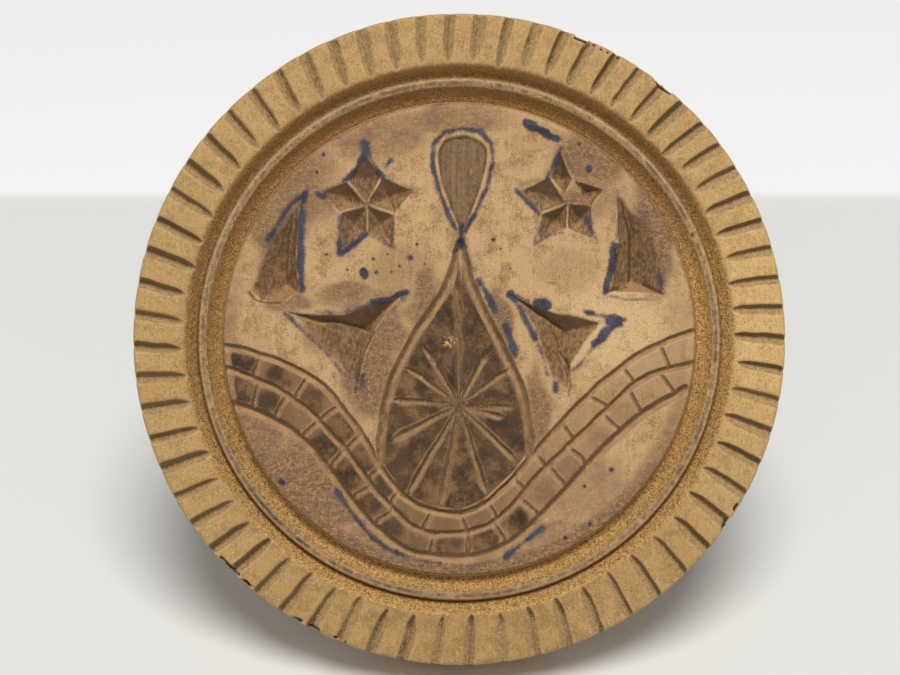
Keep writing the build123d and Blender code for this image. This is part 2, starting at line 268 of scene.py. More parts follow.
darkBricks = [  # the dark cells of the garland: middle, and how dark
    (-39.9, -4.1, 1.0), (-33.4, -7.1, 0.6), (-27.0, -11.2, 0.5), (-21.6, -15.9, 1.0), (-17.3, -22.0, 0.8),
    (-13.6, -26.4, 0.9), (-39.7, -9.2, 0.8), (-35.2, -11.6, 0.5), (-24.9, -19.9, 0.9), (-20.5, -25.0, 1.0),
    (-16.5, -29.6, 0.8), (-11.9, -33.6, 0.8), (-2.4, -37.6, 0.8), (4.7, -36.6, 0.9), (10.4, -33.2, 0.9),
    (15.8, -28.2, 0.3), (20.4, -23.2, 0.3), (25.4, -18.4, 0.25), (30.6, -13.8, 0.2),
]
slits = [  # where the knife ran on past a cut
    flameFoot,
    [(-15.6, 1.4), (-17.8, -3.4), (-19.2, -9.8)], [(-31.4, 5.0), (-26.0, 3.4), (-22.0, 3.2), (-16.6, 1.6)],
    [(9.6, 8.2), (14.4, 4.8), (19.0, 2.0)], [(17.2, 1.2), (18.4, -1.4)],
    [(18.6, -2.2), (20.2, -5.4), (20.3, -10.6)],
    [(-31.0, 22.6), (-31.8, 16.0), (-31.9, 10.2)], [(30.0, 25.2), (31.4, 18.0), (31.5, 10.8)],
    [(-38.6, 8.6), (-37.0, 6.9), (-33.0, 6.7)], [(27.6, 8.7), (31.0, 9.6)], [(34.0, 9.8), (37.6, 8.3)],
]


def insideLine(x, y, points):
    # how many times a ray to the right crosses the closed line, odd inside
    crossed = np.zeros(np.shape(x), bool)
    for (startX, startY), (endX, endY) in zip(points[:-1], points[1:]):
        between = (startY > y) != (endY > y)
        crossing = startX + (y - startY) / (endY - startY + 1e-12) * (endX - startX)
        crossed ^= between & (x < crossing)
    return crossed


def crossings(points, oneSide, otherSide):
    # short straight cuts through given points, from the nearest place on one groove to that on the next
    cuts = []
    for x, y in points:
        ends = [line[np.hypot(line[:, 0] - x, line[:, 1] - y).argmin()] for line in (oneSide, otherSide)]
        cuts.append(ends)
    return cuts


def rayDepth(x, y, end, width):
    # a V cut from the hub to its end: it widens as the square root of the way out, then closes to a point
    runX, runY = end[0] - hub[0], end[1] - hub[1]
    length = math.hypot(runX, runY)
    along = ((x - hub[0]) * runX + (y - hub[1]) * runY) / length ** 2
    aside = np.abs((x - hub[0]) * runY - (y - hub[1]) * runX) / length
    share = np.clip(along, 0, 1)
    opening = np.sqrt(share) * np.clip((1 - share) / 0.16, 0, 1) ** 0.7
    half = width / 2 * opening + 1e-3
    inside = (along > 0) & (along < 1)
    return np.where(inside, carving["rayDepth"] * opening * kneed(1 - aside / half, 0.1), 0)


def carveField(x, y):
    # the depth of every cut at each place; the deepest cut wins
    handX = x + 0.14 * lattice(x, y, 2.6, 11) + 0.05 * lattice(x, y, 0.8, 14)
    handY = y + 0.14 * lattice(x, y, 2.6, 12) + 0.05 * lattice(x, y, 0.8, 15)
    cuts = {}
    cuts["stars"] = np.maximum.reduce(
        [chipDepth(handX, handY, outline, pit, carving["starDepth"], 0.9) for outline, pit in stars])
    cuts["wings"] = np.maximum.reduce(
        [chipDepth(handX, handY, outline, pit, carving["wingDepth"], 0.8) for outline, pit in wings]
        + [chipDepth(handX, handY, outline, pit, carving["birdDepth"], 0.8) for outline, pit in birds])
    drop = smoothLine(topDrop)
    dropEdge = nearLine(handX, handY, drop) * np.where(insideLine(handX, handY, drop), 1, -1)
    cuts["drop"] = carving["dropDepth"] * step(dropEdge, -0.2, 0.5) * (1 + 0.15 * lattice(x * 3, y, 2.2, 13))
    cuts["rays"] = np.maximum.reduce([rayDepth(handX, handY, end, width) for end, width in rays])
    side = np.minimum.reduce([nearLine(handX, handY, smoothLine(line)) for line in flameSides])
    cuts["flame"] = grooveDepth(side, carving["dropGrooveWidth"], carving["dropGrooveDepth"])
    topLine, middleLine, lowLine = (smoothLine(line) for line in (garlandTop, garlandMiddle, garlandLow))
    band = np.minimum(nearLine(handX, handY, topLine), nearLine(handX, handY, middleLine))
    low = nearLine(handX, handY, lowLine)
    cuts["garland"] = np.maximum(
        grooveDepth(band, carving["grooveWidth"], carving["grooveDepth"]),
        grooveDepth(low, carving["lowGrooveWidth"], carving["lowGrooveDepth"]))
    cross = crossings(upperCrossings, topLine, middleLine) + crossings(lowerCrossings, middleLine, lowLine)
    cross = np.minimum.reduce([nearLine(handX, handY, ends) for ends in cross])
    cuts["cross"] = grooveDepth(cross, carving["crossWidth"], carving["crossDepth"])
    slit = np.minimum.reduce([nearLine(handX, handY, smoothLine(line)) for line in slits])
    cuts["slit"] = grooveDepth(slit, carving["slitWidth"], carving["slitDepth"])
    return cuts


# Ink and stain on the face, kept as shares that the material reads: 1 in the middle, 0 outside
inkLines = [  # points, half width in millimetres, strength
    ([(0.3, 18.8), (-1.8, 22.2), (-3.6, 27.0), (-4.9, 32.0), (-4.7, 35.8), (-2.6, 38.1), (0.6, 38.7),
      (3.8, 38.2), (5.9, 36.0), (6.2, 32.5), (4.9, 27.5), (2.6, 22.5), (0.3, 18.8)], 0.5, 0.9),
    ([(0.4, 20.8), (0.3, 18.4), (0.2, 17.0)], 0.7, 1.0), ([(-1.0, 16.0), (-0.3, 16.6)], 0.7, 0.8),
    ([(1.0, 17.4), (2.6, 12.6)], 0.45, 0.7),
    ([(-17.3, 35.8), (-17.1, 34.0)], 0.8, 1.0), ([(-17.6, 34.2), (-19.3, 30.8), (-21.4, 29.0)], 0.55, 0.9),
    ([(-16.8, 34.2), (-15.4, 31.6), (-14.0, 29.9)], 0.6, 0.85), ([(-14.0, 30.2), (-13.2, 29.4)], 0.8, 0.6),
    ([(-21.6, 28.8), (-23.6, 27.9), (-25.8, 26.9)], 0.4, 0.8), ([(-25.9, 26.7), (-24.8, 26.2)], 0.6, 1.0),
    ([(-21.9, 22.4), (-22.0, 19.0), (-22.1, 15.7)], 0.6, 0.9),
    ([(-21.6, 15.9), (-19.4, 17.4), (-16.8, 19.6)], 0.65, 0.85),
    ([(-16.6, 19.4), (-14.6, 18.2), (-12.0, 16.8)], 0.5, 0.8), ([(-12.1, 16.9), (-12.2, 22.2)], 0.35, 0.55),
    ([(-13.6, 31.6), (-12.6, 32.9)], 0.4, 0.8),
    ([(18.7, 35.2), (17.6, 32.2), (16.2, 29.8)], 0.6, 0.85),
    ([(19.0, 34.6), (20.0, 32.6), (21.0, 30.8)], 0.4, 0.5),
    ([(10.4, 27.4), (12.6, 25.2), (14.9, 23.0)], 0.5, 0.85),
    ([(11.4, 28.4), (14.0, 29.2), (15.6, 29.2)], 0.6, 0.5),
    ([(13.8, 17.5), (16.4, 19.0), (19.0, 19.8)], 0.45, 0.6), ([(13.9, 17.8), (14.8, 20.6)], 0.6, 0.45),
    ([(25.3, 18.0), (24.2, 20.4), (23.4, 22.4)], 0.5, 0.55),
    ([(22.6, 29.0), (27.2, 27.7), (26.0, 26.2)], 0.4, 0.45),
    ([(-28.2, 26.9), (-28.9, 24.4), (-29.2, 20.0), (-29.3, 13.8), (-28.9, 9.2)], 0.65, 0.85),
    ([(-28.4, 26.8), (-30.9, 24.8), (-32.8, 22.2), (-35.1, 18.2)], 0.6, 0.8),
    ([(-38.9, 9.2), (-38.2, 11.0)], 0.4, 0.4),
    ([(28.8, 27.9), (29.2, 22.6), (28.9, 17.6)], 0.35, 0.5),
    ([(28.5, 17.2), (28.1, 13.8), (27.2, 10.4), (26.9, 8.6)], 0.7, 1.0),
    ([(27.0, 8.2), (30.6, 7.3), (35.8, 7.4), (38.0, 8.0)], 0.35, 0.7),
    ([(38.0, 8.2), (37.2, 9.6), (36.9, 11.6)], 0.6, 0.65),
    ([(38.8, 9.6), (40.6, 10.2)], 0.3, 0.5), ([(31.0, 26.4), (33.6, 22.8), (35.4, 19.6)], 0.8, 0.45),
    ([(-32.0, 4.6), (-29.6, 2.4), (-27.3, 0.1), (-25.2, -1.8)], 0.55, 0.75),
    ([(-25.0, -2.0), (-22.6, -4.8), (-20.8, -6.9)], 0.5, 0.55),
    ([(-18.0, -6.8), (-17.9, -9.0)], 0.7, 0.75), ([(-9.7, 8.6), (-12.8, 7.6), (-16.0, 6.8)], 0.6, 0.85),
    ([(-10.2, 7.6), (-12.0, 5.6)], 0.6, 0.7),
    ([(-16.0, 6.8), (-18.6, 5.6), (-22.0, 4.8), (-26.0, 5.0)], 0.5, 0.5),
    ([(9.5, 8.4), (11.3, 5.5), (12.6, 2.7), (14.2, 0.0)], 0.65, 0.9),
    ([(14.2, 0.0), (15.2, -2.6), (16.2, -6.4)], 0.5, 0.6),
    ([(9.7, 8.4), (12.6, 7.1)], 0.45, 0.7), ([(14.6, 6.7), (16.2, 6.3)], 0.9, 1.0),
    ([(16.4, 6.0), (20.0, 5.2)], 0.4, 0.5),
    ([(23.2, 5.0), (26.8, 4.2), (30.4, 3.5)], 0.5, 0.9), ([(28.0, 3.4), (29.2, 3.0)], 1.1, 1.0),
    ([(28.4, 2.6), (27.0, 1.3), (25.0, -1.0)], 0.75, 0.95),
    ([(25.0, -1.0), (22.6, -4.2), (20.9, -5.6)], 0.55, 0.6),
    ([(17.8, -8.2), (17.7, -9.4)], 0.75, 0.7),
    ([(12.5, 39.6), (15.0, 38.2), (18.2, 36.8)], 0.85, 1.0),
    ([(-22.8, -27.4), (-20.0, -31.6), (-16.4, -36.3), (-12.3, -39.0), (-7.2, -40.7), (-3.6, -41.2)],
     0.5, 0.85),
    ([(0.6, -41.7), (3.8, -41.6)], 0.4, 0.5), ([(8.5, -40.0), (11.4, -37.7), (15.2, -34.8)], 0.5, 0.9),
    ([(31.0, -29.4), (35.0, -24.6), (38.8, -18.6)], 0.3, 0.4),
    ([(3.6, 10.8), (4.8, 9.0), (6.4, 5.6)], 0.7, 0.75), ([(8.4, 2.4), (9.6, 0.0), (10.4, -2.8)], 0.8, 0.75),
    ([(12.6, -7.0), (13.6, -9.8)], 0.45, 0.5), ([(14.9, -13.6), (15.0, -16.2)], 0.6, 0.5),
    ([(-3.0, 11.6), (-4.0, 9.6)], 0.6, 0.4), ([(-43.0, -0.6), (-40.6, -1.2)], 0.5, 0.6),
]
inkSpots = [  # x, y, radius
    (-17.5, 12.0, 0.95), (-15.3, 12.3, 0.6), (-11.0, 13.5, 0.45), (-9.0, 15.0, 0.65), (-7.8, 17.5, 0.4),
    (6.3, 18.2, 0.5), (-32.7, -26.3, 0.8), (19.5, -36.5, 0.5), (24.0, -34.0, 0.5), (23.0, -27.0, 0.4),
    (28.0, -24.0, 0.45), (-24.9, 34.0, 0.4), (-26.2, 30.8, 0.35), (-12.4, 12.4, 0.3), (-20.6, 12.8, 0.35),
    (-13.2, 15.6, 0.3), (-6.4, 13.8, 0.3), (9.4, 13.0, 0.25), (22.1, 35.9, 0.5), (23.9, 31.2, 0.55),
    (-24.5, 15.6, 0.45), (-15.8, 14.8, 0.35), (7.6, 16.6, 0.3),
]
stainPatches = [  # x, y, radius across, radius along, strength
    (-27.0, -25.0, 13.0, 9.0, 1.0), (-24.0, -31.0, 8.0, 5.0, 0.95), (-36.0, -16.0, 6.0, 7.0, 0.8),
    (-14.0, -38.0, 10.0, 5.0, 0.75), (-39.0, 0.0, 5.0, 5.0, 0.2), (-34.0, 19.0, 5.5, 9.0, 0.8),
    (-31.0, 7.5, 6.0, 3.5, 0.75), (-30.0, 28.0, 9.0, 8.0, 0.8), (-18.0, 38.0, 14.0, 6.0, 0.65),
    (-2.0, 41.0, 14.0, 3.0, 0.7), (35.0, 19.0, 5.0, 12.0, 1.1), (25.0, 34.0, 9.0, 6.0, 0.95),
    (25.0, 26.0, 5.0, 5.0, 0.55), (-11.0, 13.0, 7.0, 6.0, 0.45), (-20.0, 8.0, 7.0, 3.5, 0.75),
    (20.0, 12.0, 6.0, 4.0, 0.35), (3.0, -43.0, 16.0, 3.5, 0.9), (7.2, 2.0, 3.2, 10.0, 0.95),
    (-6.0, 7.0, 4.0, 8.0, 0.85), (-16.0, -6.0, 5.5, 10.0, 0.95), (26.0, -14.0, 10.0, 6.0, 0.25),
    (-24.0, 0.0, 6.0, 5.0, 0.6), (-17.0, 24.9, 4.2, 4.2, 0.95), (20.2, 25.6, 4.0, 4.0, 0.9),
    (40.0, 4.0, 4.0, 8.0, 0.35), (23.0, -28.0, 12.0, 8.0, 0.5), (14.0, 37.0, 6.0, 3.0, 0.3),
    (14.6, -13.0, 2.8, 9.0, 0.85), (-22.0, 20.0, 4.0, 6.0, 0.25), (18.0, -36.0, 9.0, 4.0, 0.6),
    (-13.0, 3.0, 4.0, 7.0, 0.8), (18.0, 0.0, 4.0, 6.0, 0.45),
]


def inkShare(x, y):
    # a stroke fades over its edge, and its width and strength wander; overlapping strokes keep the most
    width = 1 + 0.35 * lattice(x, y, 1.6, 71) + 0.25 * lattice(x, y, 0.6, 72)
    faded = 0.86 + 0.24 * lattice(x, y, 2.2, 73)
    most = np.zeros(np.shape(x))
    for points, half, strength in inkLines:
        edge = nearLine(x, y, points) - half * width
        most = np.maximum(most, strength * np.clip(0.5 - edge / 1.1, 0, 1))
    for spotX, spotY, radius in inkSpots:
        edge = np.hypot(x - spotX, y - spotY) - radius * width
        most = np.maximum(most, 0.9 * np.clip(0.5 - edge / 0.5, 0, 1))
    return most * faded


def stainShare(x, y):
    # soft ovals, strongest in their middles; overlapping ones keep the most
    wanderX = x + 1.6 * lattice(x, y, 4.0, 74)
    wanderY = y + 1.6 * lattice(x, y, 4.0, 75)
    most = np.zeros(np.shape(x))
    for middleX, middleY, across, along, strength in stainPatches:
        away = np.hypot((wanderX - middleX) / across, (wanderY - middleY) / along)
        most = np.maximum(most, strength * (1 - step(away, 0.45, 1.3)))
    radius = np.hypot(x, y)
    side = np.clip(0.25 - 0.8 * y / (radius + 1) - 0.15 * x / (radius + 1), 0, 0.8)
    edge = step(radius, 38.6, 42.4) * (0.2 + side)
    return np.maximum(most, edge)


def duskShare(x, y):
    # most in the flame and in the dark cells of the garland, some all along the garland
    flame = smoothLine(flameSides[0][::-1])[:-1].tolist() + smoothLine(flameSides[1]).tolist()
    flame += flameFoot[::-1] + [flame[0]]
    edge = np.where(insideLine(x, y, flame), nearLine(x, y, flame), 0)
    dusk = step(edge, 0.2, 1.0) * (0.9 + 0.1 * lattice(x, y, 3.5, 76))
    band = smoothLine(garlandTop).tolist() + smoothLine(garlandLow[::-1]).tolist()
    band.append(band[0])
    edge = np.where(insideLine(x, y, band), nearLine(x, y, band), 0)
    leftward = 1 - step(x, 2.0, 26.0)
    ground = (0.4 + 0.3 * leftward) * step(edge, 0.2, 0.9)
    brick = np.zeros(np.shape(x))
    for middleX, middleY, dark in darkBricks:
        away = np.hypot(x - middleX, y - middleY) + 0.5 * lattice(x, y, 1.2, 77)
        brick = np.maximum(brick, dark * (1 - step(away, 1.3, 3.2)))
    return np.maximum(dusk, ground + (1.0 - ground) * brick * step(edge, 0.3, 1.0))


def surfaceShape(points, reach):
    # how sharply the grid bends outwards at each point, and how far its normal turns up the face
    ahead = [np.roll(points, -reach, axis) for axis in (0, 1)]
    behind = [np.roll(points, reach, axis) for axis in (0, 1)]
    normal = np.cross(ahead[0] - behind[0], ahead[1] - behind[1])
    normal /= np.linalg.norm(normal, axis=-1, keepdims=True) + 1e-9
    bend = 0
    for nextPoint, lastPoint in zip(ahead, behind):
        spacing = np.linalg.norm(nextPoint - lastPoint, axis=-1, keepdims=True) / 2 + 1e-3
        bend = bend + (points - (nextPoint + lastPoint) / 2) / spacing ** 2
    return np.clip(0.125 * np.einsum("ijk,ijk->ij", bend, normal), -0.5, 0.5), normal[..., 1]


def fieldHeight(x, y, cuts):
    # a nearly flat round table with a rounded edge and a steep wall, less the deepest cut
    radius = np.hypot(x, y)
    swell = 0.05 * lattice(x, y, 9.0, 21) + 0.02 * lattice(x, y, 2.3, 22)
    grain = 0.012 * lattice(x * 4, y * 0.35, 1.3, 23) + 0.012 * lattice(x, y, 0.45, 24)
    crown = 0.12 * (1 - (radius / field["radius"]) ** 2)
    edgeStart = field["radius"] - field["edgeRound"]
    past = np.clip((radius - edgeStart) / field["edgeRound"], 0, 1)
    rounded = field["edgeRound"] * (1 - np.sqrt(1 - past ** 2 * 0.96))
    wall = step(radius, field["radius"], field["wallFoot"])
    deepest = np.maximum.reduce([cut for name, cut in cuts.items() if name != "slit"]) + cuts["slit"]
    deepest = deepest * (1 - step(radius, 42.2, 43.4) * 0.6)
    deepest = deepest * step(np.hypot(x - carving["knob"][0], y - carving["knob"][1]), 0.8, 1.7)
    rough = 0.05 * lattice(x, y, 0.7, 25) * np.clip(deepest * 2, 0, 1)
    top = -field["depth"] + crown + swell + grain - rounded - deepest + rough
    return top * (1 - wall) - field["coveBottom"] * wall


def roundGrid(lines):
    # a square grid bent to a disc of radius 1: each square ring becomes a circle of the same width
    side = np.linspace(-1, 1, lines)
    across, along = np.meshgrid(side, side, indexing="ij")
    ring = np.maximum(abs(across), abs(along))
    upright = abs(along) > abs(across)
    small = np.where(upright, across, along)
    turn = math.pi / 4 * small / np.where(ring > 0, ring, 1)
    onX = np.where(upright, np.sin(turn), np.cos(turn) * np.sign(across))
    onY = np.where(upright, np.cos(turn) * np.sign(along), np.sin(turn))
    return ring * onX, ring * onY


def makeField(material):
    # the height of the face over a round grid, closed below by a skirt and a flat underside
    lines = field["gridLines"]
    unitX, unitY = roundGrid(lines)
    x, y = unitX * field["wallFoot"], unitY * field["wallFoot"]
    cuts = carveField(x, y)
    z = fieldHeight(x, y, cuts)
    crest, upward = surfaceShape(np.stack([x, y, z], axis=-1), 2)
    index = np.arange(lines * lines).reshape(lines, lines)
    border = np.concatenate([index[:-1, 0], index[-1, :-1], index[:0:-1, -1], index[0, :0:-1]])
    borderX, borderY = x.ravel()[border], y.ravel()[border]
    points = np.vstack([
        onFace(x, y, z),
        onFace(borderX, borderY, np.full(len(border), field["plugBottom"])),
        onFace(0, 0, field["plugBottom"]),
    ])
    faces = gridFaces(lines, lines).tolist()
    skirt = lines * lines + np.arange(len(border))
    after = np.roll(skirt, -1)
    faces += np.stack([np.roll(border, -1), border, skirt, after], axis=1).tolist()
    faces += np.stack([after, skirt, np.full(len(border), len(points) - 1)], axis=1).tolist()
    spare = np.zeros(len(border) + 1)

    def whole(values):
        return np.concatenate([np.ravel(values), spare])

    roughPatch = 0.42 * (1 - step(np.hypot(x + 1.8, y + 0.6), 0.7, 2.3))
    lineCuts = np.maximum.reduce([cuts["rays"], cuts["flame"], cuts["garland"], cuts["cross"]])
    chips = np.maximum(cuts["stars"] * 1.4, cuts["wings"] * 0.7)
    values = {
        "grooved": whole(np.clip(lineCuts / carving["grooveDepth"], 0, 1)),
        "chipped": whole(np.clip(chips / carving["starDepth"], 0, 1)),
        "sunk": whole(np.clip(cuts["drop"] / carving["dropDepth"], 0, 1)),
        "slit": whole(np.clip(cuts["slit"] / carving["slitDepth"], 0, 1)),
        "ink": whole(inkShare(x, y)),
        "stain": whole(stainShare(x, y)),
        "bare": whole(0.5 * (1 - step(np.hypot((x - 29) / 14, (y - 3) / 11), 0.3, 1.3))),
        "dusk": whole(duskShare(x, y)),
        "crest": whole(crest),
        "upward": whole(upward),
        "torn": whole(np.maximum(step(np.hypot(x, y), 43.4, 43.6), roughPatch)),
    }
    return buildPiece("carvedField", points, faces, values, material, ["print_disc"])


# The ring round the face: coves and bead, notched land, outer wall and the edge of the back
rim = {  # angles in degrees, clockwise from the top
    "outerRadius": 60.0,
    "aroundPoints": 1430,
    "notches": 65, "notchWidth": 2.75, "notchDepth": 1.15, "notchInner": 50.2, "notchSlant": -0.9,
    "tornDepth": 0.1,
    "beadRadius": 47.0, "nickAngle": 66, "nickWidth": 0.5, "nickDepth": 0.55,
    "streakRadius": 47.25, "streakWidth": 0.5, "streakAngle": 213, "streakDepth": 0.16,
    "brokenStretches": ((17, 32), (36, 42), (119, 127), (196, 212), (216, 233)), "brokenDepth": 0.75,
}


def turnedGrid(profile, aroundPoints):
    # the profile's radius and height repeated at each angle of a full turn
    around = np.linspace(0, 2 * math.pi, aroundPoints, endpoint=False)
    angle = np.repeat(around[:, None], len(profile), axis=1)
    radius, height = (np.repeat(profile[None, :, column], aroundPoints, axis=0) for column in (0, 1))
    return angle, radius, height


def notchAngles():
    # evenly spaced, a little closer together at the top
    turn = np.arange(rim["notches"]) * 2 * math.pi / rim["notches"]
    return turn + np.radians(1.1 - 3.5 * np.sin(turn) + 1.2 * np.cos(turn) + 1.5 * np.cos(2 * turn))


def notchCut(radius, angle):
    # depth of the nearest notch: a lopsided V that starts in a rounded nose and deepens outwards
    chance = np.random.default_rng(31)
    middles = notchAngles()
    width = rim["notchWidth"] * chance.uniform(0.82, 1.14, rim["notches"])
    depth = rim["notchDepth"] * chance.uniform(0.75, 1.15, rim["notches"])
    nose = rim["notchInner"] + chance.uniform(-0.7, 0.8, rim["notches"])
    gap = (angle[..., None] - middles + math.pi) % (2 * math.pi) - math.pi
    which = np.abs(gap).argmin(axis=-1)
    nearest = np.take_along_axis(gap, which[..., None], -1)[..., 0]
    reach = np.clip((radius - nose[which]) / (discRadius - nose[which]), 0, 1)
    slant = math.radians(rim["notchSlant"]) * (1 - reach)
    sideways = (nearest - slant) * radius + 0.1 * lattice(radius, which * 7.0, 2.0, 32)
    opening = np.clip(reach / 0.3, 0, 1) ** 0.42 * (0.88 + 0.12 * reach)
    half = width[which] / 2 * opening + 1e-6
    valley = -0.18 * half
    share = np.where(sideways < valley, (sideways + half) / (valley + half),
                     (half - sideways) / (half - valley))
    bottom = depth[which] * np.clip(reach / 0.22, 0, 1) ** 0.6 * (0.75 + 0.25 * reach)
    cut = bottom * np.minimum(kneed(share, 0.1), 0.97)
    return np.where(reach > 0, cut, 0), share


def rimProfile():
    # radius and height round the ring's section, from the foot of the field's wall outwards and back inside
    coves = smoothLine([
        (43.9, -3.25), (44.5, -3.2), (45.2, -2.85), (45.9, -2.2), (46.35, -1.6), (46.6, -1.15), (47.0, -0.84),
        (47.4, -0.76), (47.8, -0.9), (48.05, -1.3), (48.2, -1.9), (48.45, -2.25), (48.9, -2.1), (49.4, -1.5),
        (49.9, -0.75), (50.4, -0.2), (50.9, -0.03), (51.4, 0.0)], 2)
    land = np.stack([np.linspace(52.0, 59.0, 12), np.zeros(12)], axis=1)
    outer = rim["outerRadius"]
    edge = smoothLine([(59.4, -0.04), (59.72, -0.28), (59.93, -0.66), (outer, -1.4)], 2)
    wall = np.array([(outer, -3.0), (59.97, -6.0), (59.95, -9.5), (59.95, -11.6)])
    back = smoothLine([(59.9, -12.3), (59.6, -12.8), (59.0, -13.0), (57.5, -13.0)], 2)
    inside = np.array([(56.0, -13.0), (55.9, -12.2), (43.3, -5.3), (43.3, -4.6)])
    carvedSide = np.vstack([coves, land, edge])
    otherSide = np.vstack([wall, back, inside])
    # the third number says which points are on the carved side
    facing = np.concatenate([np.ones(len(carvedSide)), np.zeros(len(otherSide))])
    return np.column_stack([np.vstack([carvedSide, otherSide]), facing])


def brokenShare(angle, radius, height):
    # ragged bites out of the outer edge, along stretches that fade in and out over three degrees
    degrees = np.degrees(angle)
    worn = sum(step(degrees, start, start + 3) * (1 - step(degrees, end - 3, end))
               for start, end in rim["brokenStretches"])
    along = angle * rim["outerRadius"]
    ragged = lattice(along, height * 0.4, 2.1, 47) + 0.4 * lattice(along, height, 0.7, 48)
    return worn * step(ragged, 0.0, 0.3) * step(radius, 59.0, 59.7) * step(height, -2.4, -0.9)


def makeRim(material):
    # the section turned about the middle, its height and radius then changed by noise, notches and wear
    profile = rimProfile()
    angle, radius, height = turnedGrid(profile, rim["aroundPoints"])
    degrees = np.degrees(angle)
    x, y = radius * np.sin(angle), radius * np.cos(angle)
    front = np.repeat((profile[None, :, 2] > 0), len(angle), axis=0)

    # torn grain in the coves, a land that isn't quite flat, and a bead with a worn streak and a nick
    bead = step(radius, 46.3, 46.7) * (1 - step(radius, 47.9, 48.2))
    torn = (1 - step(radius, 49.4, 52.0)) * (1 - 0.85 * bead)
    fuzz = 0.65 * lattice(x, y, 0.42, 41) + 0.5 * lattice(x, y, 0.85, 42)
    height = height + np.where(front, rim["tornDepth"] * fuzz * torn * step(radius, 43.95, 44.3), 0)
    height = np.minimum(height, 0)
    land = step(radius, 50.6, 51.4)
    waves = 0.045 * lattice(x, y, 5.0, 43) + 0.02 * lattice(x, y, 0.8, 44) - 0.03
    height = np.minimum(height + np.where(front, waves * land * (radius < 59.9), 0), 0)
    streak = bell(radius, rim["streakRadius"], rim["streakWidth"]) * (0.7 + 0.3 * lattice(x, y, 1.2, 50))
    streak = streak * (0.85 + 0.3 * bell(degrees, rim["streakAngle"], 26))
    height = height - bead * (0.05 * (1 + lattice(x, y, 1.0, 45)) + rim["streakDepth"] * streak)
    nick = bell(angle, math.radians(rim["nickAngle"]), rim["nickWidth"] / rim["beadRadius"]) * bead
    height = height - rim["nickDepth"] * nick

    # notches, broken edge, and an outline that wanders a little inside the true circle
    cut, share = notchCut(radius, angle)
    height = np.where(front, np.minimum(height, -cut * (1 + 0.08 * lattice(x, y, 0.5, 46))), height)
    outside = step(radius, 59.2, 59.9) * step(height, -4.5, -0.4)
    radius = radius - 0.07 * cut * outside
    bite = brokenShare(angle, radius, height)
    radius = radius - rim["brokenDepth"] * bite
    height = height - 0.5 * bite * (height > -1)
    outer = rim["outerRadius"]
    wander = 0.05 * lattice(np.sin(angle) * outer, np.cos(angle) * outer, 12.0, 49)
    radius = np.minimum(radius + (wander - 0.05) * step(radius, 58.5, 59.5), discRadius)
    x, y = radius * np.sin(angle), radius * np.cos(angle)
    crest, upward = surfaceShape(np.stack([x, y, height], axis=-1), 2)
    points = aboveTable(onFace(x, y, height))

    # painted shade, paler at the right hand side and browner underneath; painted shadow in thin dark lines at
    # the feet of bead and field
    aged = 0.42 - 0.42 * bell(degrees, 86, 24) + 0.22 * bell(degrees, 180, 42)
    footShadow = np.maximum(bell(radius, 48.35, 0.26), 0.3 * bell(radius, 44.0, 0.3))
    footShadow = footShadow * (0.48 + 0.2 * bell(degrees, 200, 50))
    values = {
        "torn": np.where(front, torn, 0),
        "bead": np.where(front, bead, 0),
        "streak": np.where(front, streak * bead, 0),
        # painted shadow lines at the feet of bead and field, read by the same layer that darkens the knife
        # slips
        "slit": np.where(front, footShadow, 0),
        "land": np.where(height > -2.6, step(radius, 49.3, 50.6), 0),
        "notched": np.where(front, np.clip(cut / rim["notchDepth"] * 1.3, 0, 1), 0),
        "valley": np.where(front & (cut > 0.1), step(share, 0.8, 1.0), 0),
        "broken": np.clip(bite * 1.2, 0, 1),
        "crest": crest,
        "upward": np.where(front, upward, 0),
        "aged": aged,
        "outer": step(radius, 59.3, 59.9) * (height < -0.5),
    }
    faces = gridFaces(len(angle), len(profile), True, True).tolist()
    return buildPiece("carvedRim", points, faces, values, material, ["print_disc"])


# The back of the print with its turned boss, and the bore that the handle's tenon sits in
back = {"aroundPoints": 288, "level": -13.0, "bossRadius": 20.0, "bossLevel": -22.0, "boreRadius": 7.6}


def turnedPiece(name, profile, aroundPoints, ripple, values, material, replaced, seed):
    # a profile of radius and height turned about the face's axis, each ring wobbling slightly
    angle, radius, height = turnedGrid(profile, aroundPoints)
    wobble = lattice(np.cos(angle) * 9 + height * 0.3, np.sin(angle) * 9 + height, 3.0, seed)
    radius = radius - ripple * (1 + wobble) * (radius > 0.5)
    x, y = radius * np.sin(angle), radius * np.cos(angle)
    crest = surfaceShape(np.stack([x, y, height], axis=-1), 1)[0]
    rings = aboveTable(onFace(x[:, 1:-1], y[:, 1:-1], height[:, 1:-1]))
    columns = len(profile) - 2
    points = np.vstack([rings, onFace(0, 0, profile[0, 1]), onFace(0, 0, profile[-1, 1])])
    faces = gridFaces(aroundPoints, columns, True, False).tolist()
    row = np.arange(aroundPoints) * columns
    after = np.roll(row, -1)
    first = np.full(aroundPoints, len(rings))
    faces += np.stack([first, row, after], axis=1)[:, ::-1].tolist()
    faces += np.stack([first + 1, after + columns - 1, row + columns - 1], axis=1)[:, ::-1].tolist()
    numbers = {"crest": np.concatenate([crest[:, 1:-1].ravel(), [0, 0]])}
    for label, alongProfile in values.items():
        repeated = np.repeat(alongProfile[None, 1:-1], aroundPoints, axis=0)
        numbers[label] = np.concatenate([repeated.ravel(), [alongProfile[0], alongProfile[-1]]])
    return buildPiece(name, points, faces, numbers, material, replaced)


